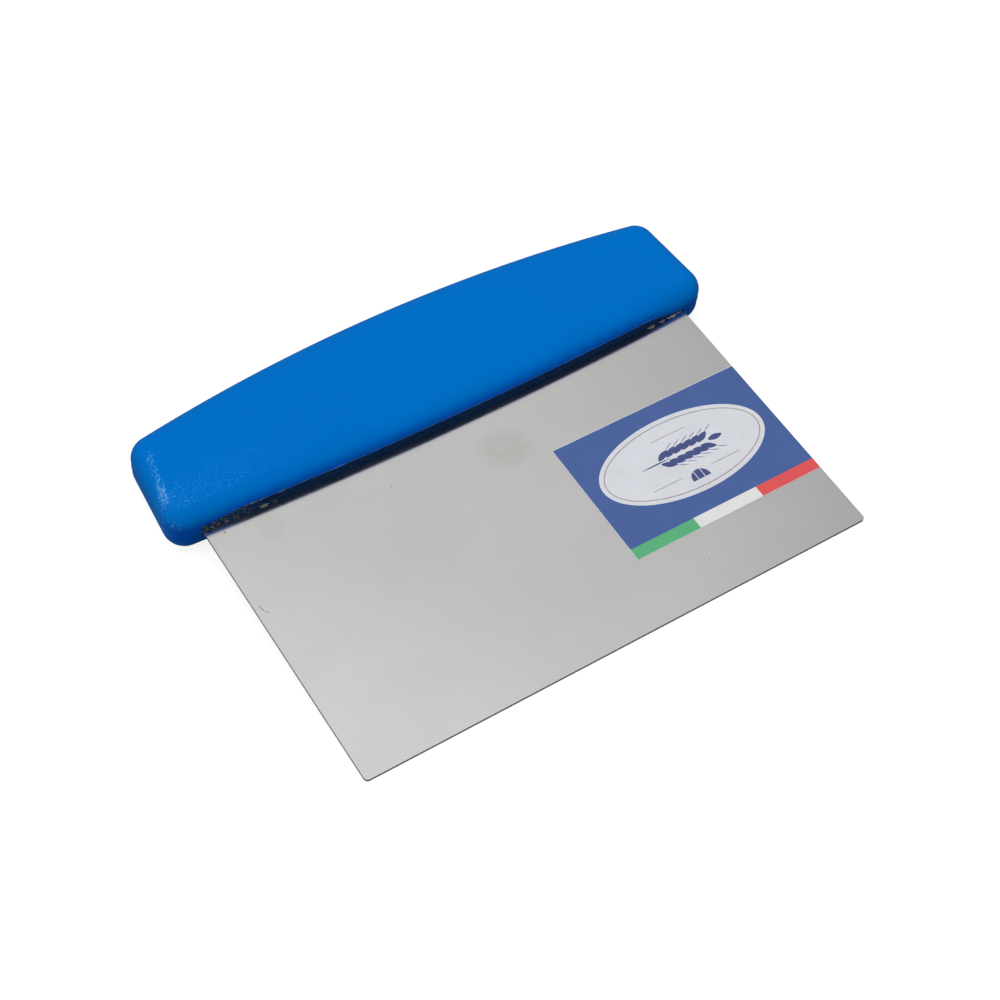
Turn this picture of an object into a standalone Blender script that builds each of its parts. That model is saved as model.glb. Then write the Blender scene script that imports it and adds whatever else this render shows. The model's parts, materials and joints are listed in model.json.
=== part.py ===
"""Bench scraper: a stainless sheet blade moulded into a one-piece polypropylene handle.

Metres, +Z up. The scraper is drawn flat: X runs along its width with the middle at 0,
Y runs from the cutting edge at 0 back to the crown of the handle, and the middle of the
sheet lies at Z = 0. It is then laid down as it rests on a bench, on the cutting edge and
the front of the handle's underside, with the origin under the middle of its box.
"""

import math

import bmesh
import bpy
from mathutils import Matrix, Vector

MM = 0.001

# Blade: one rectangle of sheet. Its back edge, the tang, is hidden inside the handle.
BLADE_WIDTH = 150 * MM
BLADE_REACH = 80.2 * MM
SHEET_THICKNESS = 0.8 * MM
BLADE_CORNER_RADIUS = 1.2 * MM
TANG_DEPTH = 24 * MM
TANG_CORNER_RADIUS = 5 * MM

# Anchor holes in the tang, which the plastic flows through when the handle is moulded.
ANCHOR_COUNT = 5
ANCHOR_HOLE = 8 * MM
ANCHOR_EDGE_MARGIN = 17 * MM
ANCHOR_BACK_MARGIN = 11 * MM

# Handle: a bar with rounded edges, bowed along its crown and a little along its mouth.
HANDLE_OVERHANG = 8.1 * MM
HANDLE_THICKNESS = 16 * MM
HANDLE_DEPTH = 39.8 * MM
END_TAPER = 1.4 * MM
CROWN_RISE = 6.5 * MM
MOUTH_BOW = 2.2 * MM
CORNER_RADIUS = 6 * MM
EDGE_RADIUS = 5.8 * MM

# Lip: the flat mouth face round the blade, and the larger round above and below it.
MOUTH_HEIGHT = 7 * MM
LIP_RADIUS = 8.5 * MM
LIP_FADE = 22 * MM

# Label: printed film, stuck on the upper side at the blade's right-hand edge.
LABEL_WIDTH = 59.2 * MM
LABEL_HEIGHT = 40 * MM
LABEL_THICKNESS = 0.1 * MM
LABEL_SIDE_MARGIN = 0.1 * MM
LABEL_FRONT_MARGIN = 19.2 * MM

# Clearance between pieces that touch on the real scraper.
CLEARANCE = 0.3 * MM

CORNER_STEPS = 8
LIP_STEPS = 7
MOUTH_STEPS = 32
CROWN_STEPS = 32
HOLE_STEPS = 32
SMOOTH_LIMIT = math.radians(25)

BLUE_PLASTIC = (0.001, 0.156, 0.558, 1)
STEEL = (0.53, 0.53, 0.53, 1)
LABEL_BLUE = (0.072, 0.12, 0.328, 1)


def clear_scene():
    for obj in list(bpy.data.objects):
        bpy.data.objects.remove(obj, do_unlink=True)


def make_material(name, colour, roughness, metallic):
    material = bpy.data.materials.new(name)
    material.use_nodes = True
    shader = material.node_tree.nodes["Principled BSDF"]
    shader.inputs["Base Color"].default_value = colour
    shader.inputs["Roughness"].default_value = roughness
    shader.inputs["Metallic"].default_value = metallic
    return material


def make_object(name, bm, material=None):
    bmesh.ops.recalc_face_normals(bm, faces=bm.faces)
    mesh = bpy.data.meshes.new(name)
    bm.to_mesh(mesh)
    bm.free()
    if material:
        mesh.materials.append(material)
    obj = bpy.data.objects.new(name, mesh)
    bpy.context.scene.collection.objects.link(obj)
    return obj


def make_cutter(name, bm):
    cutter = make_object(name, bm)
    cutter.hide_render = True
    cutter.display_type = "WIRE"
    return cutter


def cut(obj, cutter):
    boolean = obj.modifiers.new("cut " + cutter.name, "BOOLEAN")
    boolean.operation = "DIFFERENCE"
    boolean.solver = "EXACT"
    boolean.object = cutter


def shade_smooth(obj):
    obj.data.shade_smooth()
    obj.data.set_sharp_from_angle(angle=SMOOTH_LIMIT)


def arc(centre, radius, start, end, steps):
    """Points along an arc, each with the outward direction there."""
    angles = [start + (end - start) * i / steps for i in range(steps + 1)]
    normals = [Vector((math.cos(a), math.sin(a))) for a in angles]
    return [(centre + radius * normal, normal) for normal in normals]


def rounded_sheet(low, high, low_radius, high_radius, bottom, top):
    """A flat sheet between two corners, with its front and its back corners rounded."""
    quarter = math.pi / 2
    corners = (
        (high.x - low_radius, low.y + low_radius, low_radius, -quarter),
        (high.x - high_radius, high.y - high_radius, high_radius, 0),
        (low.x + high_radius, high.y - high_radius, high_radius, quarter),
        (low.x + low_radius, low.y + low_radius, low_radius, 2 * quarter),
    )
    outline = []
    for x, y, radius, start in corners:
        points = arc(Vector((x, y)), radius, start, start + quarter, CORNER_STEPS)
        outline += [point for point, _ in points]
    bm = bmesh.new()
    face = bm.faces.new([bm.verts.new((p.x, p.y, bottom)) for p in outline])
    raised = bmesh.ops.extrude_face_region(bm, geom=[face])["geom"]
    top_verts = [item for item in raised if isinstance(item, bmesh.types.BMVert)]
    bmesh.ops.translate(bm, verts=top_verts, vec=(0, 0, top - bottom))
    return bm


def anchor_places():
    """The middles of the anchor holes, evenly spaced along the tang."""
    first = BLADE_WIDTH / 2 - ANCHOR_EDGE_MARGIN
    spacing = 2 * first / (ANCHOR_COUNT - 1)
    y = BLADE_REACH + TANG_DEPTH - ANCHOR_BACK_MARGIN
    return [Vector((-first + i * spacing, y, 0)) for i in range(ANCHOR_COUNT)]


def anchor_cylinders(name, diameter):
    """A cutter of round rods, one through each anchor hole."""
    bm = bmesh.new()
    for place in anchor_places():
        bmesh.ops.create_cone(
            bm,
            cap_ends=True,
            segments=HOLE_STEPS,
            radius1=diameter / 2,
            radius2=diameter / 2,
            depth=HANDLE_THICKNESS,
            matrix=Matrix.Translation(place),
        )
    return make_cutter(name, bm)


def make_blade(material):
    half = BLADE_WIDTH / 2
    bm = rounded_sheet(
        Vector((-half, 0)),
        Vector((half, BLADE_REACH + TANG_DEPTH)),
        BLADE_CORNER_RADIUS,
        TANG_CORNER_RADIUS,
        -SHEET_THICKNESS / 2,
        SHEET_THICKNESS / 2,
    )
    blade = make_object("blade", bm, material)
    cut(blade, anchor_cylinders("anchor_hole_cutter", ANCHOR_HOLE))
    return blade


def bow_radius(half_span, rise):
    """Radius of the arc that is tangent to both corner rounds and stands out by rise between them."""
    reach = rise + CORNER_RADIUS
    return (half_span**2 + reach**2 - CORNER_RADIUS**2) / (2 * rise)


def handle_outline():
    """The handle's widest outline as (point, outward direction, share of lip), anticlockwise."""
    mouth_x = BLADE_WIDTH / 2 + HANDLE_OVERHANG - CORNER_RADIUS
    crown_x = mouth_x - END_TAPER
    crown_peak = BLADE_REACH + HANDLE_DEPTH
    mouth_corner = Vector((mouth_x, BLADE_REACH + MOUTH_BOW + CORNER_RADIUS))
    crown_corner = Vector((crown_x, crown_peak - CROWN_RISE - CORNER_RADIUS))

    mouth_radius = bow_radius(mouth_x, MOUTH_BOW)
    crown_radius = bow_radius(crown_x, CROWN_RISE)
    mouth_centre = Vector((0, BLADE_REACH + mouth_radius))
    crown_centre = Vector((0, crown_peak - crown_radius))

    along_mouth = mouth_corner - mouth_centre
    along_crown = crown_corner - crown_centre
    mouth_angle = math.atan2(along_mouth.y, along_mouth.x)
    crown_angle = math.atan2(along_crown.y, along_crown.x)
    end_angle = math.atan2(mouth_x - crown_x, crown_corner.y - mouth_corner.y)

    def mirrored(point):
        return Vector((-point.x, point.y))

    mouth = arc(mouth_centre, mouth_radius, -math.pi - mouth_angle, mouth_angle, MOUTH_STEPS)
    right_front = arc(mouth_corner, CORNER_RADIUS, mouth_angle, end_angle, CORNER_STEPS)
    right_back = arc(crown_corner, CORNER_RADIUS, end_angle, crown_angle, CORNER_STEPS)
    crown = arc(crown_centre, crown_radius, crown_angle, math.pi - crown_angle, CROWN_STEPS)
    left_back = [(mirrored(p), mirrored(n)) for p, n in reversed(right_back)]
    left_front = [(mirrored(p), mirrored(n)) for p, n in reversed(right_front)]

    def lip_share(point):
        inside = max(0, min(1, (mouth_x - abs(point.x)) / LIP_FADE))
        return inside * inside * (3 - 2 * inside)

    outline = [(p, n, lip_share(p)) for p, n in mouth]
    for stretch in (right_front, right_back, crown, left_back, left_front):
        outline += [(p, n, 0) for p, n in stretch[1:]]
    return outline[:-1]


def inset_at(height, radius, start):
    """How far a round edge has drawn in at a height, when it starts at another and ends level."""
    if height <= start:
        return 0
    centre = HANDLE_THICKNESS / 2 - radius
    reach = math.sqrt(max(0, radius**2 - (start - centre) ** 2))
    return reach - math.sqrt(max(0, radius**2 - (height - centre) ** 2))


def handle_levels():
    """Heights above the sheet's middle where an outline is drawn, up to the flat face."""
    half = HANDLE_THICKNESS / 2
    centre = half - EDGE_RADIUS
    lip = MOUTH_HEIGHT / 2
    first = math.asin((lip - centre) / EDGE_RADIUS)
    angles = [first + (math.pi / 2 - first) * i / LIP_STEPS for i in range(1, LIP_STEPS)]
    return [centre, lip] + [centre + EDGE_RADIUS * math.sin(a) for a in angles] + [half]


def handle_ring(bm, outline, height):
    """One closed ring of points round the handle at a height, drawn in as its edges ask."""
    edge_inset = inset_at(abs(height), EDGE_RADIUS, HANDLE_THICKNESS / 2 - EDGE_RADIUS)
    lip_inset = inset_at(abs(height), LIP_RADIUS, MOUTH_HEIGHT / 2)
    ring = []
    for point, normal, lip in outline:
        inset = edge_inset + lip * (lip_inset - edge_inset)
        moved = point - inset * normal
        ring.append(bm.verts.new((moved.x, moved.y, height)))
    return ring


def handle_body():
    """The handle as moulded, before the blade's slot is taken out."""
    bm = bmesh.new()
    outline = handle_outline()
    levels = handle_levels()
    heights = [-z for z in reversed(levels)] + levels
    rings = [handle_ring(bm, outline, height) for height in heights]
    for lower, upper in zip(rings, rings[1:]):
        for i, corner in enumerate(lower):
            j = (i + 1) % len(lower)
            bm.faces.new((corner, lower[j], upper[j], upper[i]))
    bm.faces.new(rings[0])
    bm.faces.new(rings[-1])
    return bm


def slot_cutter():
    """The space that the tang fills: the tang with clearance all round, less a peg for each hole."""
    half = BLADE_WIDTH / 2 + CLEARANCE
    front = BLADE_REACH - HANDLE_DEPTH / 2
    back = BLADE_REACH + TANG_DEPTH + CLEARANCE
    thickness = SHEET_THICKNESS + 2 * CLEARANCE
    bm = rounded_sheet(
        Vector((-half, front)),
        Vector((half, back)),
        BLADE_CORNER_RADIUS,
        TANG_CORNER_RADIUS + CLEARANCE,
        -thickness / 2,
        thickness / 2,
    )
    slot = make_cutter("slot_cutter", bm)
    cut(slot, anchor_cylinders("peg_cutter", ANCHOR_HOLE - 2 * CLEARANCE))
    return slot


def make_handle(material):
    handle = make_object("handle", handle_body(), material)
    shade_smooth(handle)
    cut(handle, slot_cutter())
    return handle


def make_label(material):
    right = BLADE_WIDTH / 2 - LABEL_SIDE_MARGIN
    bottom = SHEET_THICKNESS / 2 + CLEARANCE
    bm = bmesh.new()
    bmesh.ops.create_cube(bm, size=1)
    bmesh.ops.scale(bm, verts=bm.verts, vec=(LABEL_WIDTH, LABEL_HEIGHT, LABEL_THICKNESS))
    middle = Vector(
        (
            right - LABEL_WIDTH / 2,
            LABEL_FRONT_MARGIN + LABEL_HEIGHT / 2,
            bottom + LABEL_THICKNESS / 2,
        )
    )
    bmesh.ops.translate(bm, verts=bm.verts, vec=middle)
    return make_object("label", bm, material)


def lay_down(parts, handle):
    """Tilts the scraper onto its cutting edge and handle, with the origin under its box's middle."""
    toe = Vector((0, 0, -SHEET_THICKNESS / 2))
    lean = max(math.atan2(toe.z - v.co.z, v.co.y) for v in handle.data.vertices)
    turn = Matrix.Rotation(lean, 4, "X") @ Matrix.Translation(-toe)
    depths = [(turn @ v.co).y for part in parts for v in part.data.vertices]
    middle = (min(depths) + max(depths)) / 2

    rest_pose = bpy.data.objects.new("rest_pose", None)
    bpy.context.scene.collection.objects.link(rest_pose)
    rest_pose.matrix_world = Matrix.Translation((0, -middle, 0)) @ turn
    cutters = [obj for obj in bpy.data.objects if obj.hide_render]
    for obj in parts + cutters:
        obj.parent = rest_pose
    bpy.context.view_layer.update()


clear_scene()
blade = make_blade(make_material("stainless sheet", STEEL, 0.3, 1))
handle = make_handle(make_material("blue polypropylene", BLUE_PLASTIC, 0.45, 0))
label = make_label(make_material("printed film", LABEL_BLUE, 0.4, 0))
lay_down([blade, handle, label], handle)
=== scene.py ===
"""Bench scraper: a stainless steel sheet moulded into a blue plastic grip, with a film label."""
import json
import math
import random

import bmesh
import bpy
from mathutils import Matrix, Quaternion, Vector, noise


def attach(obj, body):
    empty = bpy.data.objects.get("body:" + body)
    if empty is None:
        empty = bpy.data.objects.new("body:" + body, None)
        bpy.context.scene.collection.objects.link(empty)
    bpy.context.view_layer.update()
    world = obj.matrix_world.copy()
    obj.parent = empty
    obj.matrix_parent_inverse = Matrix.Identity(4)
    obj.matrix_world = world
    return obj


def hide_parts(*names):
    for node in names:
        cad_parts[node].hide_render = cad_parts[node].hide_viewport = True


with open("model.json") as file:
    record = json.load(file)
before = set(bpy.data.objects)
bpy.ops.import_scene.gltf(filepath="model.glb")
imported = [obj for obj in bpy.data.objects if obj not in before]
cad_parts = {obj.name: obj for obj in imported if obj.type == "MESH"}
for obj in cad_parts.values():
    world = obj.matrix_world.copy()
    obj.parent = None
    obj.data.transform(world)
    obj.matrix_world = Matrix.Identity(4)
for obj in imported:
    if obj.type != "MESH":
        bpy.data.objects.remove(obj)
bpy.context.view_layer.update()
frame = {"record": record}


# ---- Camera ----------------------------------------------------------------------------
# A short telephoto on a stand, in front of the scraper and to its left, looking down at
# about fifty degrees so that the whole tool lies slantwise in the frame.
AIM = Vector((-0.00449, -0.00743, 0.00535))
CAMERA_DISTANCE = 0.5094
CAMERA_AZIMUTH = math.radians(-33.37)
CAMERA_ELEVATION = math.radians(50.18)
CAMERA_ROLL = math.radians(1.115)
LENS = 70.94

away = Vector((
    math.sin(CAMERA_AZIMUTH) * math.cos(CAMERA_ELEVATION),
    -math.cos(CAMERA_AZIMUTH) * math.cos(CAMERA_ELEVATION),
    math.sin(CAMERA_ELEVATION),
))
camera = bpy.data.objects.new("camera", bpy.data.cameras.new("camera"))
camera.data.lens = LENS
camera.data.sensor_width = 36
camera.data.clip_start = 0.01
camera.data.clip_end = 20
camera.rotation_mode = "QUATERNION"
camera.location = AIM + away * CAMERA_DISTANCE
camera.rotation_quaternion = (-away).to_track_quat("-Z", "Y") @ Quaternion((0, 0, 1), CAMERA_ROLL)
bpy.context.scene.collection.objects.link(camera)
bpy.context.scene.camera = camera


# ---- Studio ----------------------------------------------------------------------------
# A board on a table under two wide soft panels and a crisper sheet hung overhead, the
# strongest front left. The room's walls give the rest. The board is white only as seen by
# the camera; to the scraper it is a dull grey.
BACKDROP_LIGHT = 1.0
ROOM_LIGHT = 0.32
SOFTBOXES = (
    # towards, full light within, no light beyond (degrees from the middle), strength
    (Vector((-0.318, -0.286, 0.904)), 24.2, 40.4, 1.2),
    (Vector((-0.034, 0.310, 0.950)), 24.7, 40.4, 0.60),
    (Vector((-0.091, 0.052, 0.995)), 27.6, 29.8, 0.225),
)
BOARD_SIZE = 8.0
BOARD_GREY = (0.27, 0.27, 0.27, 1)
BOARD_UNLIT = (0.0, 0.0, 0.0, 1)
BOARD_BACKLIT = (0.84, 0.84, 0.84, 1)


class Wire:
    """One output of a node tree. Sums on a wire add Math nodes to its tree."""

    def __init__(self, tree, socket=None):
        self.tree = tree
        self.socket = socket

    def node(self, kind, settings=None, sockets=None, out=0):
        """Adds a node: first its settings, then the values or links of its sockets."""
        made = self.tree.nodes.new("ShaderNode" + kind)
        for name, value in (settings or {}).items():
            setattr(made, name, value)
        for name, value in (sockets or {}).items():
            if isinstance(value, Wire):
                self.tree.links.new(value.socket, made.inputs[name])
            else:
                made.inputs[name].default_value = value
        return Wire(self.tree, made.outputs[out] if made.outputs else None)

    def math(self, operation, *values):
        return self.node("Math", {"operation": operation}, dict(enumerate(values)))

    def __add__(self, other):
        return self.math("ADD", self, other)

    def __sub__(self, other):
        return self.math("SUBTRACT", self, other)

    def __rsub__(self, other):
        return self.math("SUBTRACT", other, self)

    def __mul__(self, other):
        return self.math("MULTIPLY", self, other)

    __radd__ = __add__
    __rmul__ = __mul__


def softbox(sky, towards, within, beyond, strength):
    """The light that a soft round panel in one direction gives to each direction of the sky."""
    facing = sky.node("TexCoord", out="Generated")
    nearness = sky.node("VectorMath", {"operation": "DOT_PRODUCT"},
                        {0: facing, 1: towards.normalized()}, out="Value")
    return sky.node("MapRange", {"interpolation_type": "SMOOTHSTEP"}, {
        "Value": nearness,
        "From Min": math.cos(math.radians(beyond)),
        "From Max": math.cos(math.radians(within)),
        "To Min": 0.0,
        "To Max": strength,
    })


world = bpy.data.worlds.new("studio")
world.use_nodes = True
world.node_tree.nodes.clear()
bpy.context.scene.world = world
sky = Wire(world.node_tree)
light = softbox(sky, *SOFTBOXES[0])
for panel in SOFTBOXES[1:]:
    light = light + softbox(sky, *panel)
light = light + ROOM_LIGHT
seen = sky.node("LightPath", out="Is Camera Ray")
glow = light * (1 - seen) + BACKDROP_LIGHT * seen
sky.node("OutputWorld", None, {
    "Surface": sky.node("Background", None, {"Color": (1, 1, 1, 1), "Strength": glow})})
bpy.context.scene.view_settings.view_transform = "Standard"


def make_material(name, look):
    """A material whose surface is the shader that look(wire) returns."""
    material = bpy.data.materials.new(name)
    material.use_nodes = True
    material.node_tree.nodes.clear()
    start = Wire(material.node_tree)
    start.node("OutputMaterial", None, {"Surface": look(start)})
    return material


def blend_colours(mask, first, second):
    return mask.node("Mix", {"data_type": "RGBA"}, {0: mask, 6: first, 7: second}, out=2)


def board_look(start):
    """Matt board that looks white to the camera and gives the scraper no light of its own."""
    seen = start.node("LightPath", out="Is Camera Ray")
    return start.node("BsdfPrincipled", None, {
        "Base Color": BOARD_GREY,
        "Roughness": 0.9,
        "Specular IOR Level": 0.0,
        "Emission Color": blend_colours(seen, BOARD_UNLIT, BOARD_BACKLIT),
        "Emission Strength": 1.0,
    })


board_mesh = bpy.data.meshes.new("board")
half_board = BOARD_SIZE / 2
board_mesh.from_pydata(
    [(-half_board, -half_board, 0), (half_board, -half_board, 0), (half_board, half_board, 0),
     (-half_board, half_board, 0)], [], [(0, 1, 2, 3)])
board_mesh.materials.append(make_material("white_board", board_look))
board = bpy.data.objects.new("board", board_mesh)
bpy.context.scene.collection.objects.link(board)


# ---- Blade -----------------------------------------------------------------------------
# A blanked sheet of cold-rolled stainless steel, satin on its faces and grey on its sheared
# edges. Its back part, the tang, has a row of holes that the grip's plastic fills. Pieces are
# drawn flat in millimetres: x along the cutting edge, y back from it, z up from mid-sheet.
BLADE_WIDTH = 150.0
BLADE_REACH = 80.2
SHEET_THICKNESS = 0.8
BLADE_CORNER_RADIUS = 1.2
SHEAR_ROUND = 0.1
TANG_DEPTH = 24.0
TANG_CORNER_RADIUS = 5.0
ANCHOR_COUNT = 5
ANCHOR_HOLE = 8.0
ANCHOR_EDGE_MARGIN = 17.0
ANCHOR_BACK_MARGIN = 11.0
STEEL = (0.557, 0.556, 0.555, 1)
STEEL_SOILED = (0.515, 0.505, 0.485, 1)
STEEL_SHEARED = (0.17, 0.17, 0.17, 1)
SCRATCH_DARK = (0.16, 0.15, 0.14, 1)
SMUDGE = (5.5, 66, 10, 8.5)
TOUCH_LEFT = (-59.5, 75, 5, 6)
TOUCH_MIDDLE = (14, 33, 6, 5)
SCRATCHES = (
    # x, y, half width, half length, turn in degrees
    (-73.15, 54.2, 0.16, 1.9, 12),
    (-72.3, 52.6, 0.13, 0.8, 50),
    (31.9, 10.2, 0.22, 0.22, 0.0),
    (-26.6, 70.2, 0.3, 0.22, 0.0),
    (-70.4, 79.0, 0.4, 0.32, 0.0),
)
CORNER_CUT_STEPS = 6
TANG_CORNER_STEPS = 12
HOLE_STEPS = 48

edge_mount = next(m for m in frame["record"]["mounts"] if m["name"] == "cutting_edge")
lean = math.asin(-edge_mount["axis"][2])
lie_down = (Matrix.Translation(edge_mount["pos_m"])
            @ Matrix.Rotation(lean, 4, "X") @ Matrix.Scale(0.001, 4))


def arc(centre, radius, start, end, steps):
    """Points along an arc from one angle to another, each with its outward direction."""
    found = []
    for i in range(steps + 1):
        angle = start + (end - start) * i / steps
        outward = Vector((math.cos(angle), math.sin(angle)))
        found.append((Vector(centre) + outward * radius, outward))
    return found


def ring_at(bm, outline, height, inset):
    """One closed row of vertices: an outline drawn in by one number, or by one for each point."""
    insets = inset if isinstance(inset, list) else [inset] * len(outline)
    return [bm.verts.new(((p - out * i).x, (p - out * i).y, height))
            for (p, out), i in zip(outline, insets)]


def join_rings(bm, first, second, turn=False):
    """A band of four-sided faces between two rows of as many vertices."""
    faces = []
    for i in range(len(first)):
        k = (i + 1) % len(first)
        corners = (first[i], first[k], second[k], second[i])
        faces.append(bm.faces.new(corners[::-1] if turn else corners))
    return faces


def tang_outline(margin):
    """The sheet's outline behind the mouth and in front of it, grown by a margin."""
    half = BLADE_WIDTH / 2 + margin
    front, back = -margin, BLADE_REACH + TANG_DEPTH + margin
    near, far = BLADE_CORNER_RADIUS + margin, TANG_CORNER_RADIUS + margin
    quarter = math.pi / 2
    return (arc((half - near, front + near), near, -quarter, 0, CORNER_CUT_STEPS)
            + arc((half - far, back - far), far, 0, quarter, TANG_CORNER_STEPS)
            + arc((far - half, back - far), far, quarter, 2 * quarter, TANG_CORNER_STEPS)
            + arc((near - half, front + near), near, 2 * quarter, 3 * quarter, CORNER_CUT_STEPS))


def anchor_outlines(radius):
    """The row of round holes along the tang."""
    span = BLADE_WIDTH - 2 * ANCHOR_EDGE_MARGIN
    places = [-span / 2 + span * i / (ANCHOR_COUNT - 1) for i in range(ANCHOR_COUNT)]
    back = BLADE_REACH + TANG_DEPTH - ANCHOR_BACK_MARGIN
    return [arc((x, back), radius, 0, 2 * math.pi, HOLE_STEPS)[:-1] for x in places]


def fill_sheet(bm, rings):
    """A flat face over the first ring that leaves the other rings open."""
    edges = []
    for ring in rings:
        for i in range(len(ring)):
            pair = (ring[i], ring[(i + 1) % len(ring)])
            edges.append(bm.edges.get(pair) or bm.edges.new(pair))
    filled = bmesh.ops.triangle_fill(bm, use_beauty=True, edges=edges)
    return [f for f in filled["geom"] if isinstance(f, bmesh.types.BMFace)]


def sheet_with_holes(outline, holes, levels):
    """A closed sheet: its outer wall follows the levels, each a height and an inset."""
    bm = bmesh.new()
    outer = [ring_at(bm, outline, height, inset) for height, inset in levels]
    inner = [[ring_at(bm, hole, levels[k][0], 0) for hole in holes] for k in (0, -1)]
    for lower, upper in zip(outer, outer[1:]):
        join_rings(bm, lower, upper)
    for lower, upper in zip(*inner):
        join_rings(bm, lower, upper, turn=True)
    caps = fill_sheet(bm, [outer[0], *inner[0]]) + fill_sheet(bm, [outer[-1], *inner[1]])
    bmesh.ops.recalc_face_normals(bm, faces=bm.faces)
    return bm, caps


def place(name, bm, finishes, sharp=28):
    """Lays a flat drawing down as a piece at rest, keeping the drawing's places for its finish."""
    mesh = bpy.data.meshes.new(name)
    bm.to_mesh(mesh)
    bm.free()
    flat = mesh.attributes.new("flat", "FLOAT_VECTOR", "POINT")
    flat.data.foreach_set("vector", [c for v in mesh.vertices for c in v.co])
    mesh.transform(lie_down)
    rounded = [polygon.use_smooth for polygon in mesh.polygons]
    mesh.set_sharp_from_angle(angle=math.radians(sharp))
    mesh.polygons.foreach_set("use_smooth", rounded)
    for finish in finishes:
        mesh.materials.append(finish)
    piece = bpy.data.objects.new(name, mesh)
    bpy.context.scene.collection.objects.link(piece)
    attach(piece, "root")
    return piece


def flat_place(start):
    """Where a point of a piece is on the flat drawing, in millimetres."""
    return start.node("Attribute", {"attribute_name": "flat"}, out="Vector")


def stretch(place_wire, by, shift=(0.0, 0.0, 0.0)):
    """The same places stretched along each axis, for a pattern that runs one way."""
    return place_wire.node("Mapping", None, {"Vector": place_wire, "Scale": by, "Location": shift})


def cloud(vector, scale, detail=2.0, rough=0.5):
    """Soft random values from 0 to 1."""
    return vector.node("TexNoise", None, {
        "Vector": vector, "Scale": scale, "Detail": detail, "Roughness": rough})


def ramp(value, low, high, start=0.0, end=1.0):
    """Takes a value from low..high to start..end, smoothly, and keeps it there outside."""
    return value.node("MapRange", {"interpolation_type": "SMOOTHSTEP"}, {
        "Value": value, "From Min": low, "From Max": high, "To Min": start, "To Max": end})


def spot(place_wire, x, y, wide, long, angle=0.0):
    """A soft round or long mark on the sheet, 1 in its middle and 0 outside."""
    turned = place_wire.node("VectorRotate", {"rotation_type": "Z_AXIS"}, {
        "Vector": place_wire, "Center": (x, y, 0.0), "Angle": -math.radians(angle)})
    offset = turned.node("VectorMath", {"operation": "SUBTRACT"}, {0: turned, 1: (x, y, 0.0)})
    scaled = offset.node("VectorMath", {"operation": "MULTIPLY"},
                         {0: offset, 1: (1 / wide, 1 / long, 0.0)})
    length = scaled.node("VectorMath", {"operation": "LENGTH"}, {0: scaled}, out="Value")
    return ramp(length, 0.35, 1.0, 1.0, 0.0)


def steel_look(start):
    where = flat_place(start)
    grain = cloud(stretch(where, (0.05, 3.0, 1.0)), 1.0, 3.0, 0.6)
    cast = cloud(stretch(where, (0.035, 0.05, 1.0)), 1.0, 3.0, 0.55)
    flecks = cloud(where, 2.2, 2.0, 0.6)
    smudge = spot(where, *SMUDGE) * ramp(cloud(where, 0.3), 0.3, 0.6, 0.55, 1.0)
    touch = spot(where, *TOUCH_LEFT) + spot(where, *TOUCH_MIDDLE) * 0.6
    scratches = spot(where, *SCRATCHES[0])
    for mark in SCRATCHES[1:]:
        scratches = scratches + spot(where, *mark)
    soil = (ramp(flecks, 0.62, 0.75, 0.0, 0.12) + smudge * 0.75 + touch * 0.4
            + ramp(cast, 0.42, 0.68, 0.0, 0.3))
    colour = blend_colours(scratches * 0.8, blend_colours(soil, STEEL, STEEL_SOILED), SCRATCH_DARK)
    height = grain * 0.6 + cloud(stretch(where, (0.4, 9.0, 1.0)), 1.0, 2.0, 0.5) * 0.4
    bump = start.node("Bump", None, {"Strength": 0.1, "Distance": 0.00001, "Height": height})
    return start.node("BsdfPrincipled", None, {
        "Base Color": colour,
        "Metallic": 1.0,
        "Roughness": ramp(grain, 0.3, 0.7, 0.13, 0.17) + smudge * 0.06 + scratches * 0.3,
        "Normal": bump,
    })


def sheared_look(start):
    tear = cloud(stretch(flat_place(start), (2.5, 2.5, 0.6)), 1.0, 3.0, 0.7)
    bump = start.node("Bump", None, {"Strength": 0.4, "Distance": 0.00003, "Height": tear})
    return start.node("BsdfPrincipled", None, {
        "Base Color": blend_colours(ramp(tear, 0.35, 0.7), STEEL_SHEARED, STEEL_SOILED),
        "Metallic": 1.0,
        "Roughness": ramp(tear, 0.3, 0.7, 0.35, 0.6),
        "Normal": bump,
    })


half_sheet = SHEET_THICKNESS / 2
blade_levels = [
    (-half_sheet, SHEAR_ROUND),
    (-half_sheet + 0.3 * SHEAR_ROUND, 0.3 * SHEAR_ROUND),
    (-half_sheet + SHEAR_ROUND, 0.0),
    (half_sheet - SHEAR_ROUND, 0.0),
    (half_sheet - 0.3 * SHEAR_ROUND, 0.3 * SHEAR_ROUND),
    (half_sheet, SHEAR_ROUND),
]
blade_bm, faces_of_sheet = sheet_with_holes(
    tang_outline(0), anchor_outlines(ANCHOR_HOLE / 2), blade_levels)
for face in blade_bm.faces:
    face.smooth = True
    face.material_index = 1
for face in faces_of_sheet:
    face.smooth = False
    face.material_index = 0
blade = place("blade_sheet", blade_bm, [
    make_material("rolled_steel", steel_look),
    make_material("sheared_steel", sheared_look),
])
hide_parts("blade")


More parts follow.
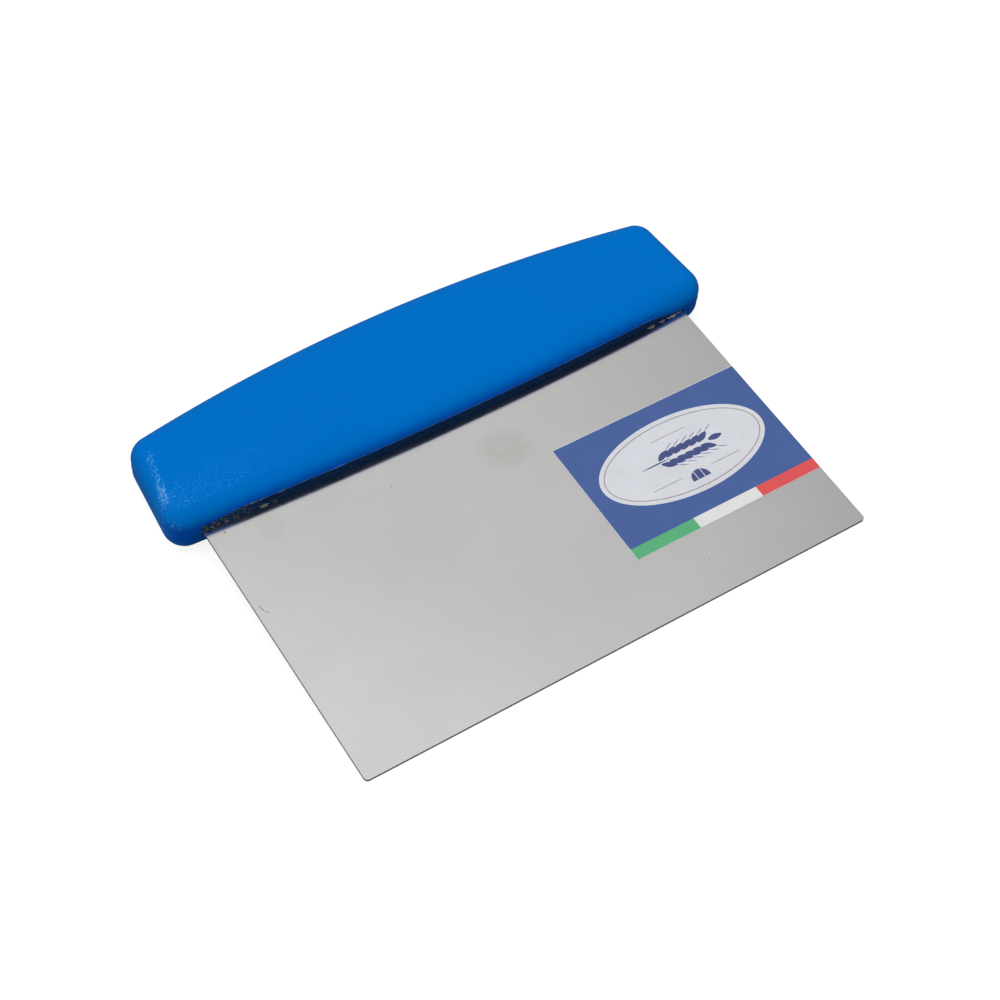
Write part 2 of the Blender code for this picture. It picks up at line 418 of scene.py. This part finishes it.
# ---- Grip ------------------------------------------------------------------------------
# One injection-moulded bar of blue polypropylene, spark-eroded to a fine stipple. It is moulded
# round the tang, fills the holes in it, and shows a faint parting line round its middle.
HANDLE_OVERHANG = 8.1
HANDLE_THICKNESS = 16.0
HANDLE_DEPTH = 39.8
END_TAPER = 1.4
CROWN_RISE = 6.5
MOUTH_BOW = 2.2
CORNER_RADIUS = 6.0
EDGE_RADIUS = 5.8
EDGE_START = HANDLE_THICKNESS / 2 - EDGE_RADIUS
MOUTH_HEIGHT = 7.0
LIP_HEIGHT = 5.2
LIP_DEPTH = 7.57
LIP_FADE = 22.0
MOUTH_X = BLADE_WIDTH / 2 + HANDLE_OVERHANG - CORNER_RADIUS
TOP_TILT = math.radians(2.4)
TOP_DOME = 0.22
PARTING_RIDGE = 0.07
RIDGE_HEIGHT = 0.06
RIDGE_FOOT = 0.14
RING_SPACE = 0.12
SLOT_CLEARANCE = 0.02
LONG_STEPS = 150
CORNER_STEPS = 16
END_STEPS = 18
ACROSS_STEPS = CORNER_STEPS * 2 + END_STEPS
EDGE_STEPS = 18
GRIP_BLUE = (0.0, 0.183, 0.652, 1)
GRIP_BLUE_DEEP = (0.0, 0.172, 0.625, 1)
# Colour of the painted glints.
GRIP_BLUE_PALE = (0.13, 0.42, 0.86, 1)
# Painted shade on the lip above the mouth's crease.
GRIP_BLUE_LIP_SHADE = (0.0, 0.095, 0.520, 1)
# Painted shade on the mouth's wall under the lip.
GRIP_BLUE_MOUTH_SHADE = (0.0, 0.022, 0.085, 1)
FLASH_GREY = (0.10, 0.13, 0.19, 1)
# Where a painted sheen lies on the bottom left corner: x, y, half width, half length.
CORNER_SHEEN_SPOT = (-81.5, 84.0, 2.6, 2.6)


def bow_radius(half_span, rise):
    """Radius of the long arc that meets both corner circles and rises by that much between them."""
    reach = rise + CORNER_RADIUS
    return (half_span ** 2 + reach ** 2 - CORNER_RADIUS ** 2) / (2 * rise)


def grip_outline():
    """The bar from above, from the mouth's left end round to the right, as four sides."""
    crown_x = MOUTH_X - END_TAPER
    crown_peak = BLADE_REACH + HANDLE_DEPTH
    mouth_radius = bow_radius(MOUTH_X, MOUTH_BOW)
    crown_radius = bow_radius(crown_x, CROWN_RISE)
    mouth_corner = Vector((MOUTH_X, BLADE_REACH + MOUTH_BOW + CORNER_RADIUS))
    crown_corner = Vector((crown_x, crown_peak - CROWN_RISE - CORNER_RADIUS))
    mouth_centre = Vector((0, BLADE_REACH + mouth_radius))
    crown_centre = Vector((0, crown_peak - crown_radius))
    mouth_angle = math.atan2(mouth_corner.y - mouth_centre.y, mouth_corner.x - mouth_centre.x)
    crown_angle = math.atan2(crown_corner.y - crown_centre.y, crown_corner.x - crown_centre.x)
    end_angle = math.atan2(MOUTH_X - crown_x, crown_corner.y - mouth_corner.y)
    mouth = arc(mouth_centre, mouth_radius, -math.pi - mouth_angle, mouth_angle, LONG_STEPS)
    near_corner = arc(mouth_corner, CORNER_RADIUS, mouth_angle, end_angle, CORNER_STEPS)
    far_corner = arc(crown_corner, CORNER_RADIUS, end_angle, crown_angle, CORNER_STEPS)
    low, high = near_corner[-1], far_corner[0]
    straight = [(low[0].lerp(high[0], i / END_STEPS), low[1]) for i in range(1, END_STEPS)]
    right = near_corner + straight + far_corner
    crown = arc(crown_centre, crown_radius, crown_angle, math.pi - crown_angle, LONG_STEPS)
    left = [(Vector((-p.x, p.y)), Vector((-out.x, out.y))) for p, out in reversed(right)]
    return mouth, right, crown, left


def lip_share(point, on_mouth):
    """How far the mouth's softer lip takes over from the edge's own radius."""
    if not on_mouth:
        return 0.0
    share = min(1.0, max(0.0, (MOUTH_X - abs(point.x)) / LIP_FADE))
    return share * share * (3 - 2 * share)


def inset_at(height, radius, start):
    """How far a rounded edge has come in at a height, where its arc starts at another."""
    if height <= start:
        return 0.0
    middle = HANDLE_THICKNESS / 2 - radius
    reach = math.sqrt(max(0.0, radius ** 2 - (start - middle) ** 2))
    return reach - math.sqrt(max(0.0, radius ** 2 - (height - middle) ** 2))


def lip_inset_at(height):
    """How far the mouth's lip, a quarter of a flat oval, has come in at a height."""
    middle = HANDLE_THICKNESS / 2 - LIP_HEIGHT
    if height <= MOUTH_HEIGHT / 2:
        return 0.0
    crease, here = ((h - middle) / LIP_HEIGHT for h in (MOUTH_HEIGHT / 2, height))
    return LIP_DEPTH * (math.sqrt(1 - crease ** 2) - math.sqrt(max(0.0, 1 - here ** 2)))


def grip_heights():
    """Heights of the rings from the middle plane up."""
    turns = [(math.pi / 2 - TOP_TILT) * i / EDGE_STEPS for i in range(1, EDGE_STEPS + 1)]
    curve = [EDGE_START + EDGE_RADIUS * math.sin(turn) for turn in turns]
    crease = MOUTH_HEIGHT / 2
    spaced = [h for h in curve if abs(h - crease) > RING_SPACE]
    return sorted([RIDGE_HEIGHT, RIDGE_FOOT, EDGE_START, crease] + spaced)


def make_grip_bar():
    """The closed bar: rings round the sides, and a slightly domed grid over the top and bottom."""
    bm = bmesh.new()
    mouth, right, crown, left = grip_outline()
    outline = mouth[:-1] + right[:-1] + crown[:-1] + left[:-1]
    shares = [lip_share(p, i < LONG_STEPS) for i, (p, out) in enumerate(outline)]
    upper = grip_heights()
    heights = [-h for h in reversed(upper)] + upper
    rings = []
    for height in heights:
        level = abs(height)
        edge = inset_at(level, EDGE_RADIUS, EDGE_START)
        lip = lip_inset_at(level)
        ridge = -PARTING_RIDGE if level < RIDGE_FOOT else 0.0
        insets = [edge + share * (lip - edge) + ridge for share in shares]
        rings.append(ring_at(bm, outline, height, insets))
    for lower, above in zip(rings, rings[1:]):
        join_rings(bm, lower, above)
    for ring, side in ((rings[0], -1), (rings[-1], 1)):
        cover_top(bm, ring, side)
    bmesh.ops.recalc_face_normals(bm, faces=bm.faces)
    for face in bm.faces:
        face.smooth = True
    return bm


def cover_top(bm, ring, side):
    """A grid over one broad face, drawn between the four sides of its outermost ring."""
    m, n = LONG_STEPS, ACROSS_STEPS
    near = ring[:m + 1]
    right = ring[m:m + n + 1]
    far = ring[m + n:2 * m + n + 1][::-1]
    left = [ring[0]] + ring[2 * m + n:][::-1]
    grid = [near]
    for j in range(1, n):
        v = j / n
        row = [left[j]]
        for i in range(1, m):
            u = i / m
            across = near[i].co * (1 - v) + far[i].co * v
            along = left[j].co * (1 - u) + right[j].co * u
            corners = ((near[0].co * (1 - u) + near[-1].co * u) * (1 - v)
                       + (far[0].co * (1 - u) + far[-1].co * u) * v)
            point = across + along - corners
            dome = (1 - (2 * v - 1) ** 2) * (1 - (2 * u - 1) ** 6)
            point.z += side * TOP_DOME * dome
            row.append(bm.verts.new(point))
        grid.append(row + [right[j]])
    grid.append(far)
    for low, high in zip(grid, grid[1:]):
        for i in range(m):
            bm.faces.new((low[i], low[i + 1], high[i + 1], high[i]))


def cut_away(bm, cutter_bm):
    """Takes one closed shape out of another."""
    objects = []
    for name, source in (("kept", bm), ("cutter", cutter_bm)):
        mesh = bpy.data.meshes.new(name)
        source.to_mesh(mesh)
        source.free()
        objects.append(bpy.data.objects.new(name, mesh))
        bpy.context.scene.collection.objects.link(objects[-1])
    kept, cutter = objects
    change = kept.modifiers.new("cut", "BOOLEAN")
    change.operation = "DIFFERENCE"
    change.solver = "EXACT"
    change.object = cutter
    evaluated = kept.evaluated_get(bpy.context.evaluated_depsgraph_get())
    result = bmesh.new()
    result.from_mesh(evaluated.to_mesh())
    evaluated.to_mesh_clear()
    for made in objects:
        mesh = made.data
        bpy.data.objects.remove(made)
        bpy.data.meshes.remove(mesh)
    return result


def grip_look(start):
    where = flat_place(start)
    stipple = cloud(where, 2.6, 3.0, 0.65)
    coarse = cloud(where, 0.9, 2.0, 0.5)
    drift = cloud(where, 0.03, 2.0, 0.5)
    along = where.node("SeparateXYZ", None, {"Vector": where}, out="X")
    back = where.node("SeparateXYZ", None, {"Vector": where}, out="Y")
    level = along.math("ABSOLUTE", where.node("SeparateXYZ", None, {"Vector": where}, out="Z"))
    from_middle = along.math("ABSOLUTE", along)
    # Painted shade: the mouth's wall under the lip, which lies in shadow, is painted a near-black
    # blue.
    opening = ramp(from_middle, 60.0, 79.0, MOUTH_HEIGHT / 2, 1.9)
    above = level - opening + ramp(along, 56.0, 76.0, 0.0, 1.2)
    front = ramp(back, 83.4, 84.4, 1.0, 0.0)
    # Painted shade: the lip is a deeper blue towards the mouth's crease, where it turns away from
    # the light.
    lip = ramp(above, 0.0, 3.4, 1.0, 0.0) * ramp(back, 83.0, 89.5, 1.0, 0.0)
    mouth = ramp(above, -0.14, 0.1, 1.0, 0.0) * front * ramp(from_middle, 74.8, 75.8, 1.0, 0.0)
    torn = cloud(stretch(where, (1.0, 1.0, 1.6)), 1.1, 3.0, 0.75)
    residue = ramp(torn, 0.46, 0.6) * mouth * ramp(along, -72.0, -54.0, 1.0, 0.1)
    # Painted highlights: pale glints in a band along the left end's upper edge and, more thinly,
    # along the face above the lip. A painted sheen lies on the bottom left corner.
    aslant = along - back * 0.19
    left_edge = (ramp(aslant, -99.8, -98.2) * ramp(aslant, -97.4, -96.2, 1.0, 0.0)
                 * ramp(back, 87.6, 92.0) * ramp(back, 103.0, 109.0, 1.0, 0.0))
    corner_sheen = (spot(where, *CORNER_SHEEN_SPOT)
                    * ramp(level, 0.8, 2.4) * ramp(level, 4.2, 6.0, 1.0, 0.0))
    front_band = (ramp(along, -78.0, -20.0, 1.0, 0.1)
                  * ramp(back, 84, 87) * ramp(back, 92, 100, 1.0, 0.0))
    painted_glint_weight = left_edge * 0.85 + front_band * 0.45 + corner_sheen * 0.8
    fleck = cloud(where, 2.1, 2.0, 0.75) + painted_glint_weight * 0.15
    glints = ramp(fleck, 0.64, 0.78) * (painted_glint_weight + 0.12)
    colour = blend_colours(ramp(drift, 0.35, 0.65) * 0.7, GRIP_BLUE, GRIP_BLUE_DEEP)
    colour = blend_colours(glints, colour, GRIP_BLUE_PALE)
    colour = blend_colours(mouth, blend_colours(lip, colour, GRIP_BLUE_LIP_SHADE), GRIP_BLUE_MOUTH_SHADE)
    colour = blend_colours(residue, colour, FLASH_GREY)
    bump = start.node("Bump", None, {
        "Strength": 0.6, "Distance": 0.00007, "Height": stipple * 0.7 + coarse * 0.3})
    return start.node("BsdfPrincipled", None, {
        "Base Color": colour,
        "Roughness": ramp(stipple, 0.3, 0.7, 0.42, 0.54),
        "Specular IOR Level": 0.03,
        "Specular Tint": (0.0, 0.35, 1.0, 1),
        "Normal": bump,
    })


slot_levels = [(-half_sheet - SLOT_CLEARANCE, 0.0), (half_sheet + SLOT_CLEARANCE, 0.0)]
slot_bm, _ = sheet_with_holes(
    tang_outline(SLOT_CLEARANCE), anchor_outlines(ANCHOR_HOLE / 2 - SLOT_CLEARANCE), slot_levels)
grip_bm = cut_away(make_grip_bar(), slot_bm)
grip = place("grip", grip_bm, [make_material("stippled_blue", grip_look)],
             sharp=20)
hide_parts("handle")


# ---- Moulding flash --------------------------------------------------------------------
# A thin burr of plastic along the mouth's two creases, where the halves of the mould meet the
# blade, coloured with the lip's and mouth's painted shade and paler in patches, most on the left.
# Near the blade's corners a few scraps of it are left.
BURR_RADIUS = 0.07
BURR_SPREAD = 0.32
BURR_REACH = 68.0
BURR_SIDES = 6
SCRAP_SINK = 0.03
SCRAP_SEED = 11
BURR_PALE = (0.150, 0.190, 0.230, 1)
SCRAP_PALE = (0.380, 0.375, 0.375, 1)
SCRAP_BROWN = (0.030, 0.026, 0.036, 1)
SCRAPS = (
    # middle along the mouth, length, reach over the blade, height, how pale
    (-74.0, 1.6, 0.6, 0.45, 0.10),
    (-72.3, 1.3, 0.5, 0.35, 0.30),
    (-70.6, 1.5, 0.4, 0.50, 0.16),
    (-68.3, 1.2, 0.5, 0.30, 0.26),
    (-65.4, 1.7, 0.3, 0.40, 0.15),
    (-62.3, 1.1, 0.3, 0.30, 0.20),
    (-57.8, 2.8, 0.6, 0.80, 0.62),
    (-54.6, 1.5, 0.5, 1.10, 0.06),
    (63.6, 2.6, 0.9, 0.35, 0.55),
    (67.4, 2.2, 0.7, 0.30, 0.45),
    (70.8, 3.4, 0.8, 0.35, 0.70),
    (73.4, 1.6, 0.5, 0.30, 0.60),
)


def burr_look(start):
    where = flat_place(start)
    along = where.node("SeparateXYZ", None, {"Vector": where}, out="X")
    left = ramp(along, -66.0, -30.0, 1.0, 0.0)
    pale_patches = ramp(cloud(where, 1.5, 3.0, 0.7), 0.4, 0.56) * (left * 0.65 + 0.35)
    # Painted shade: the burr takes the mouth's painted shade on the left and the lip's on the
    # right.
    rooted = blend_colours(left, GRIP_BLUE_LIP_SHADE, GRIP_BLUE_MOUTH_SHADE)
    bump = start.node("Bump", None, {
        "Strength": 0.5, "Distance": 0.00005, "Height": cloud(where, 4.0)})
    return start.node("BsdfPrincipled", None, {
        "Base Color": blend_colours(pale_patches, rooted, BURR_PALE),
        "Roughness": ramp(pale_patches, 0.0, 1.0, 0.45, 0.7),
        "Specular IOR Level": 0.2,
        "Normal": bump,
    })


def scrap_look(start):
    where = flat_place(start)
    pale = start.node("Attribute", {"attribute_name": "pale"}, out="Fac")
    torn = ramp(cloud(where, 2.5, 3.0, 0.7), 0.35, 0.6, 0.4, 1.0) * pale
    bump = start.node("Bump", None, {
        "Strength": 0.6, "Distance": 0.0001, "Height": cloud(where, 3.0)})
    return start.node("BsdfPrincipled", None, {
        "Base Color": blend_colours(torn, SCRAP_BROWN, SCRAP_PALE),
        "Roughness": ramp(torn, 0.0, 1.0, 0.5, 0.8),
        "Specular IOR Level": 0.3,
        "Normal": bump,
    })


def add_burr(bm, crease, height):
    """A fine uneven bead along one crease of the mouth, closed at both ends."""
    rings = []
    for i, (point, out) in enumerate(crease):
        swell = max(0.0, noise.noise(Vector((point.x * 0.9, height, 3.7))))
        rough = min(1.0, max(0.0, -point.x / BURR_REACH))
        taper = min(1.0, min(i, len(crease) - 1 - i) / 4)
        radius = (BURR_RADIUS + BURR_SPREAD * swell * (0.35 + rough)) * (0.15 + 0.85 * taper)
        ring = []
        for k in range(BURR_SIDES):
            turn = 2 * math.pi * k / BURR_SIDES
            side = point + out * radius * math.cos(turn)
            ring.append(bm.verts.new((side.x, side.y, height + radius * math.sin(turn))))
        rings.append(ring)
    for first, second in zip(rings, rings[1:]):
        join_rings(bm, first, second)
    bm.faces.new(rings[0])
    bm.faces.new(rings[-1])


def mouth_line(x):
    """Where the mouth's front face is at a place along the blade."""
    radius = bow_radius(MOUTH_X, MOUTH_BOW)
    return BLADE_REACH + radius - math.sqrt(radius ** 2 - x ** 2)


def add_scrap(bm, middle, length, reach, height, chance):
    """A torn scrap of flash lying in the corner between the mouth and the blade."""
    stations = max(9, round(length * 7))
    floor = SHEET_THICKNESS / 2 - SCRAP_SINK
    rings = []
    for i in range(stations):
        share = i / (stations - 1)
        x = middle + length * (share - 0.5)
        wall = mouth_line(x) + 0.06
        full = max(0.1, math.sin(math.pi * share)) ** 0.6
        out = reach * full * chance.uniform(0.45, 1.15) + 0.06
        tall = height * full * chance.uniform(0.4, 1.1) + 0.03
        rings.append([bm.verts.new(corner) for corner in (
            (x, wall, floor),
            (x, wall - out, floor),
            (x, wall - out * chance.uniform(0.75, 0.95), floor + 0.35 * tall),
            (x, wall - out * chance.uniform(0.3, 0.6), floor + tall * chance.uniform(0.5, 0.9)),
            (x, wall, floor + tall),
        )])
    for first, second in zip(rings, rings[1:]):
        join_rings(bm, first, second)
    bm.faces.new(rings[0])
    bm.faces.new(rings[-1])
    return [v for ring in rings for v in ring]


mouth_side = grip_outline()[0]
burr_bm = bmesh.new()
for crease_height in (MOUTH_HEIGHT / 2, -MOUTH_HEIGHT / 2):
    add_burr(burr_bm, [step for step in mouth_side if abs(step[0].x) < BURR_REACH], crease_height)
bmesh.ops.recalc_face_normals(burr_bm, faces=burr_bm.faces)
for face in burr_bm.faces:
    face.smooth = True
place("mouth_burr", burr_bm, [make_material("patchy_burr", burr_look)], sharp=60)

scrap_bm = bmesh.new()
chance = random.Random(SCRAP_SEED)
paleness = []
for middle, length, reach, height, pale in SCRAPS:
    paleness += [pale] * len(add_scrap(scrap_bm, middle, length, reach, height, chance))
bmesh.ops.recalc_face_normals(scrap_bm, faces=scrap_bm.faces)
torn_flash = make_material("torn_flash", scrap_look)
scraps = place("mouth_scraps", scrap_bm, [torn_flash])
scraps.data.attributes.new("pale", "FLOAT", "POINT").data.foreach_set("value", paleness)


# ---- Label -----------------------------------------------------------------------------
# A rectangle of white plastic film stuck to the blade, with its end flush to the blade's side.
# Its print is a blue field, a strip in three colours along the front, and a plain oval panel
# with a keyline, an ear of wheat, a loaf and fine rules. Each ink is its own thin layer.
LABEL_LEFT = 15.85
LABEL_FRONT = 19.2
LABEL_WIDTH = 59.1
LABEL_HEIGHT = 39.95
UNPRINTED_RIM = 0.16
FILM_LIFT = 0.01
FILM_THICKNESS = 0.06
INK_THICKNESS = 0.008
STRIP_HEIGHT = 3.5
STRIP_JOINS = (19.95, 40.15)
OVAL_MIDDLE = Vector((45.6, 41.1))
OVAL_WIDTH = 51.0
OVAL_HEIGHT = 25.4
KEYLINE_MARGIN = 1.3
KEYLINE_WIDTH = 0.26
RULE_WEIGHT = 0.18
RULES = (
    # from, to, height above the oval's middle
    (-5.5, 5.5, 7.1),
    (-14.0, -4.6, -6.6),
    (4.6, 14.0, -6.6),
)
EAR_LENGTH = 25.0
GRAIN_LENGTH = 4.6
GRAIN_WIDTH = 1.75
GRAIN_PAIRS = 6
GRAIN_PITCH = 2.55
FIRST_GRAIN = 7.4
TIP_GAP = 0.6
LOAF_WIDTH = 5.6
LOAF_HEIGHT = 2.7
LOAF_DROP = 9.0
LOAF_BASE = 0.35
LOAF_SLICES = ((-1.0, -0.44), (-0.36, 0.30), (0.38, 1.0))
LOAF_STEPS = 8
LABEL_BLUE = (0.064, 0.127, 0.365)
LABEL_GREEN = (0.112, 0.480, 0.218)
LABEL_WHITE = (0.835, 0.830, 0.825)
LABEL_RED = (0.825, 0.096, 0.098)
OVAL_WHITE = (0.760, 0.775, 0.830)
KEYLINE_BROWN = (0.320, 0.275, 0.260)
FILM_WHITE = (0.78, 0.78, 0.80)
INK_BLUE = (0.062, 0.090, 0.260)


def print_look(colour):
    """Ink under a clear satin film: the colour drifts a little and the gloss is uneven."""
    def look(start):
        where = flat_place(start)
        drift = cloud(where, 0.12, 3.0, 0.6)
        screen = cloud(where, 6.0, 2.0, 0.5)
        deep = tuple(c * 0.97 for c in colour) + (1,)
        pale = tuple(min(1.0, c * 1.03 + 0.002) for c in colour) + (1,)
        bump = start.node("Bump", None, {
            "Strength": 0.12, "Distance": 0.00003, "Height": cloud(where, 0.35, 3.0, 0.5)})
        return start.node("BsdfPrincipled", None, {
            "Base Color": blend_colours(ramp(drift * 0.7 + screen * 0.3, 0.35, 0.65), deep, pale),
            "Roughness": ramp(screen, 0.3, 0.7, 0.36, 0.44),
            "Specular IOR Level": 0.3,
            "Normal": bump,
        })
    return look


def prism(bm, points, low, high):
    """A thin closed solid on one outline."""
    lower = [bm.verts.new((x, y, low)) for x, y in points]
    upper = [bm.verts.new((x, y, high)) for x, y in points]
    join_rings(bm, lower, upper)
    bm.faces.new(upper)
    bm.faces.new(lower[::-1])


def hoop(bm, outer, inner, low, high):
    """A thin closed band between two outlines of as many points."""
    rows = [[bm.verts.new((x, y, z)) for x, y in points]
            for points, z in ((outer, low), (outer, high), (inner, high), (inner, low))]
    for first, second in zip(rows, rows[1:] + rows[:1]):
        join_rings(bm, first, second)


def print_layer(name, colour, layer, outlines, hoops=()):
    """One ink on the label, as thin solids on its outlines; layer 0 lies on the film."""
    low = SHEET_THICKNESS / 2 + FILM_LIFT + FILM_THICKNESS + layer * INK_THICKNESS
    bm = bmesh.new()
    for outline in outlines:
        prism(bm, outline, low, low + INK_THICKNESS)
    for outer, inner in hoops:
        hoop(bm, outer, inner, low, low + INK_THICKNESS)
    bmesh.ops.recalc_face_normals(bm, faces=bm.faces)
    ink = make_material("ink_" + name, print_look(colour))
    return place("label_" + name, bm, [ink])


def box_points(x0, y0, x1, y1):
    return [(x0, y0), (x1, y0), (x1, y1), (x0, y1)]


def oval_points(width, height, steps=160):
    turns = [2 * math.pi * i / steps for i in range(steps)]
    return [(OVAL_MIDDLE.x + width / 2 * math.cos(t), OVAL_MIDDLE.y + height / 2 * math.sin(t))
            for t in turns]


def grain_points(x, y, angle, length=GRAIN_LENGTH, width=GRAIN_WIDTH, steps=12):
    """A plump pointed grain, turned by an angle in degrees."""
    upper = [(length * (i / steps - 0.5), width / 2 * math.sin(math.pi * i / steps) ** 0.8)
             for i in range(steps + 1)]
    loop = upper + [(a, -b) for a, b in upper[-2:0:-1]]
    c, s = math.cos(math.radians(angle)), math.sin(math.radians(angle))
    return [(x + a * c - b * s, y + a * s + b * c) for a, b in loop]


def wheat_outlines():
    """An ear of wheat lying along the oval: a stalk, pairs of grains and their beards."""
    left = OVAL_MIDDLE.x - EAR_LENGTH / 2
    y = OVAL_MIDDLE.y + 0.5
    found = [grain_points(left + 4.2, y, 0, 9.6, 0.42)]
    for i in range(GRAIN_PAIRS):
        x = left + FIRST_GRAIN + i * GRAIN_PITCH
        for side in (-1, 1):
            found.append(grain_points(x, y + side * 1.62, side * 27))
            found.append(grain_points(x + 3.1, y + side * 3.5, side * 25, 3.4, 0.2))
    found.append(grain_points(left + FIRST_GRAIN + GRAIN_PAIRS * GRAIN_PITCH + TIP_GAP, y, 0))
    return found


def loaf_outlines():
    """A small loaf under the ear, as slices between its slashes."""
    x, y, half = OVAL_MIDDLE.x, OVAL_MIDDLE.y - LOAF_DROP, LOAF_WIDTH / 2
    found = []
    for start, end in LOAF_SLICES:
        steps = [start + (end - start) * i / LOAF_STEPS for i in range(LOAF_STEPS + 1)]
        top = [(x + half * t, y + LOAF_HEIGHT * math.sqrt(max(0.0, 1 - t * t)) + LOAF_BASE)
               for t in steps]
        found.append([(x + half * start, y)] + top + [(x + half * end, y)])
    return found


label_right = LABEL_LEFT + LABEL_WIDTH
label_back = LABEL_FRONT + LABEL_HEIGHT
film_low = SHEET_THICKNESS / 2 + FILM_LIFT
film_bm = bmesh.new()
prism(film_bm, box_points(LABEL_LEFT, LABEL_FRONT, label_right, label_back), film_low,
      film_low + FILM_THICKNESS)
bmesh.ops.recalc_face_normals(film_bm, faces=film_bm.faces)
white_film = make_material("white_film", print_look(FILM_WHITE))
film = place("label_film", film_bm, [white_film])
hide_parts("label")

inner_left, inner_right = LABEL_LEFT + UNPRINTED_RIM, label_right - UNPRINTED_RIM / 4
strip_front, strip_back = LABEL_FRONT + UNPRINTED_RIM / 2, LABEL_FRONT + STRIP_HEIGHT
joins = [inner_left, LABEL_LEFT + STRIP_JOINS[0], LABEL_LEFT + STRIP_JOINS[1], inner_right]
print_layer("field", LABEL_BLUE, 0, [
    box_points(inner_left, strip_back, inner_right, label_back - UNPRINTED_RIM)])
strip_inks = (("green", LABEL_GREEN), ("white", LABEL_WHITE), ("red", LABEL_RED))
for (name, colour), start, end in zip(strip_inks, joins, joins[1:]):
    print_layer("strip_" + name, colour, 0, [box_points(start, strip_front, end, strip_back)])
print_layer("oval", OVAL_WHITE, 1, [oval_points(OVAL_WIDTH, OVAL_HEIGHT)])
line_wide, line_tall = OVAL_WIDTH - 2 * KEYLINE_MARGIN, OVAL_HEIGHT - 2 * KEYLINE_MARGIN
rule_x, rule_y = OVAL_MIDDLE
print_layer("keyline", KEYLINE_BROWN, 2, [
    box_points(rule_x + start, rule_y + height, rule_x + end, rule_y + height + RULE_WEIGHT)
    for start, end, height in RULES
], [(oval_points(line_wide, line_tall),
     oval_points(line_wide - 2 * KEYLINE_WIDTH, line_tall - 2 * KEYLINE_WIDTH))])
print_layer("wheat", INK_BLUE, 2, wheat_outlines() + loaf_outlines())
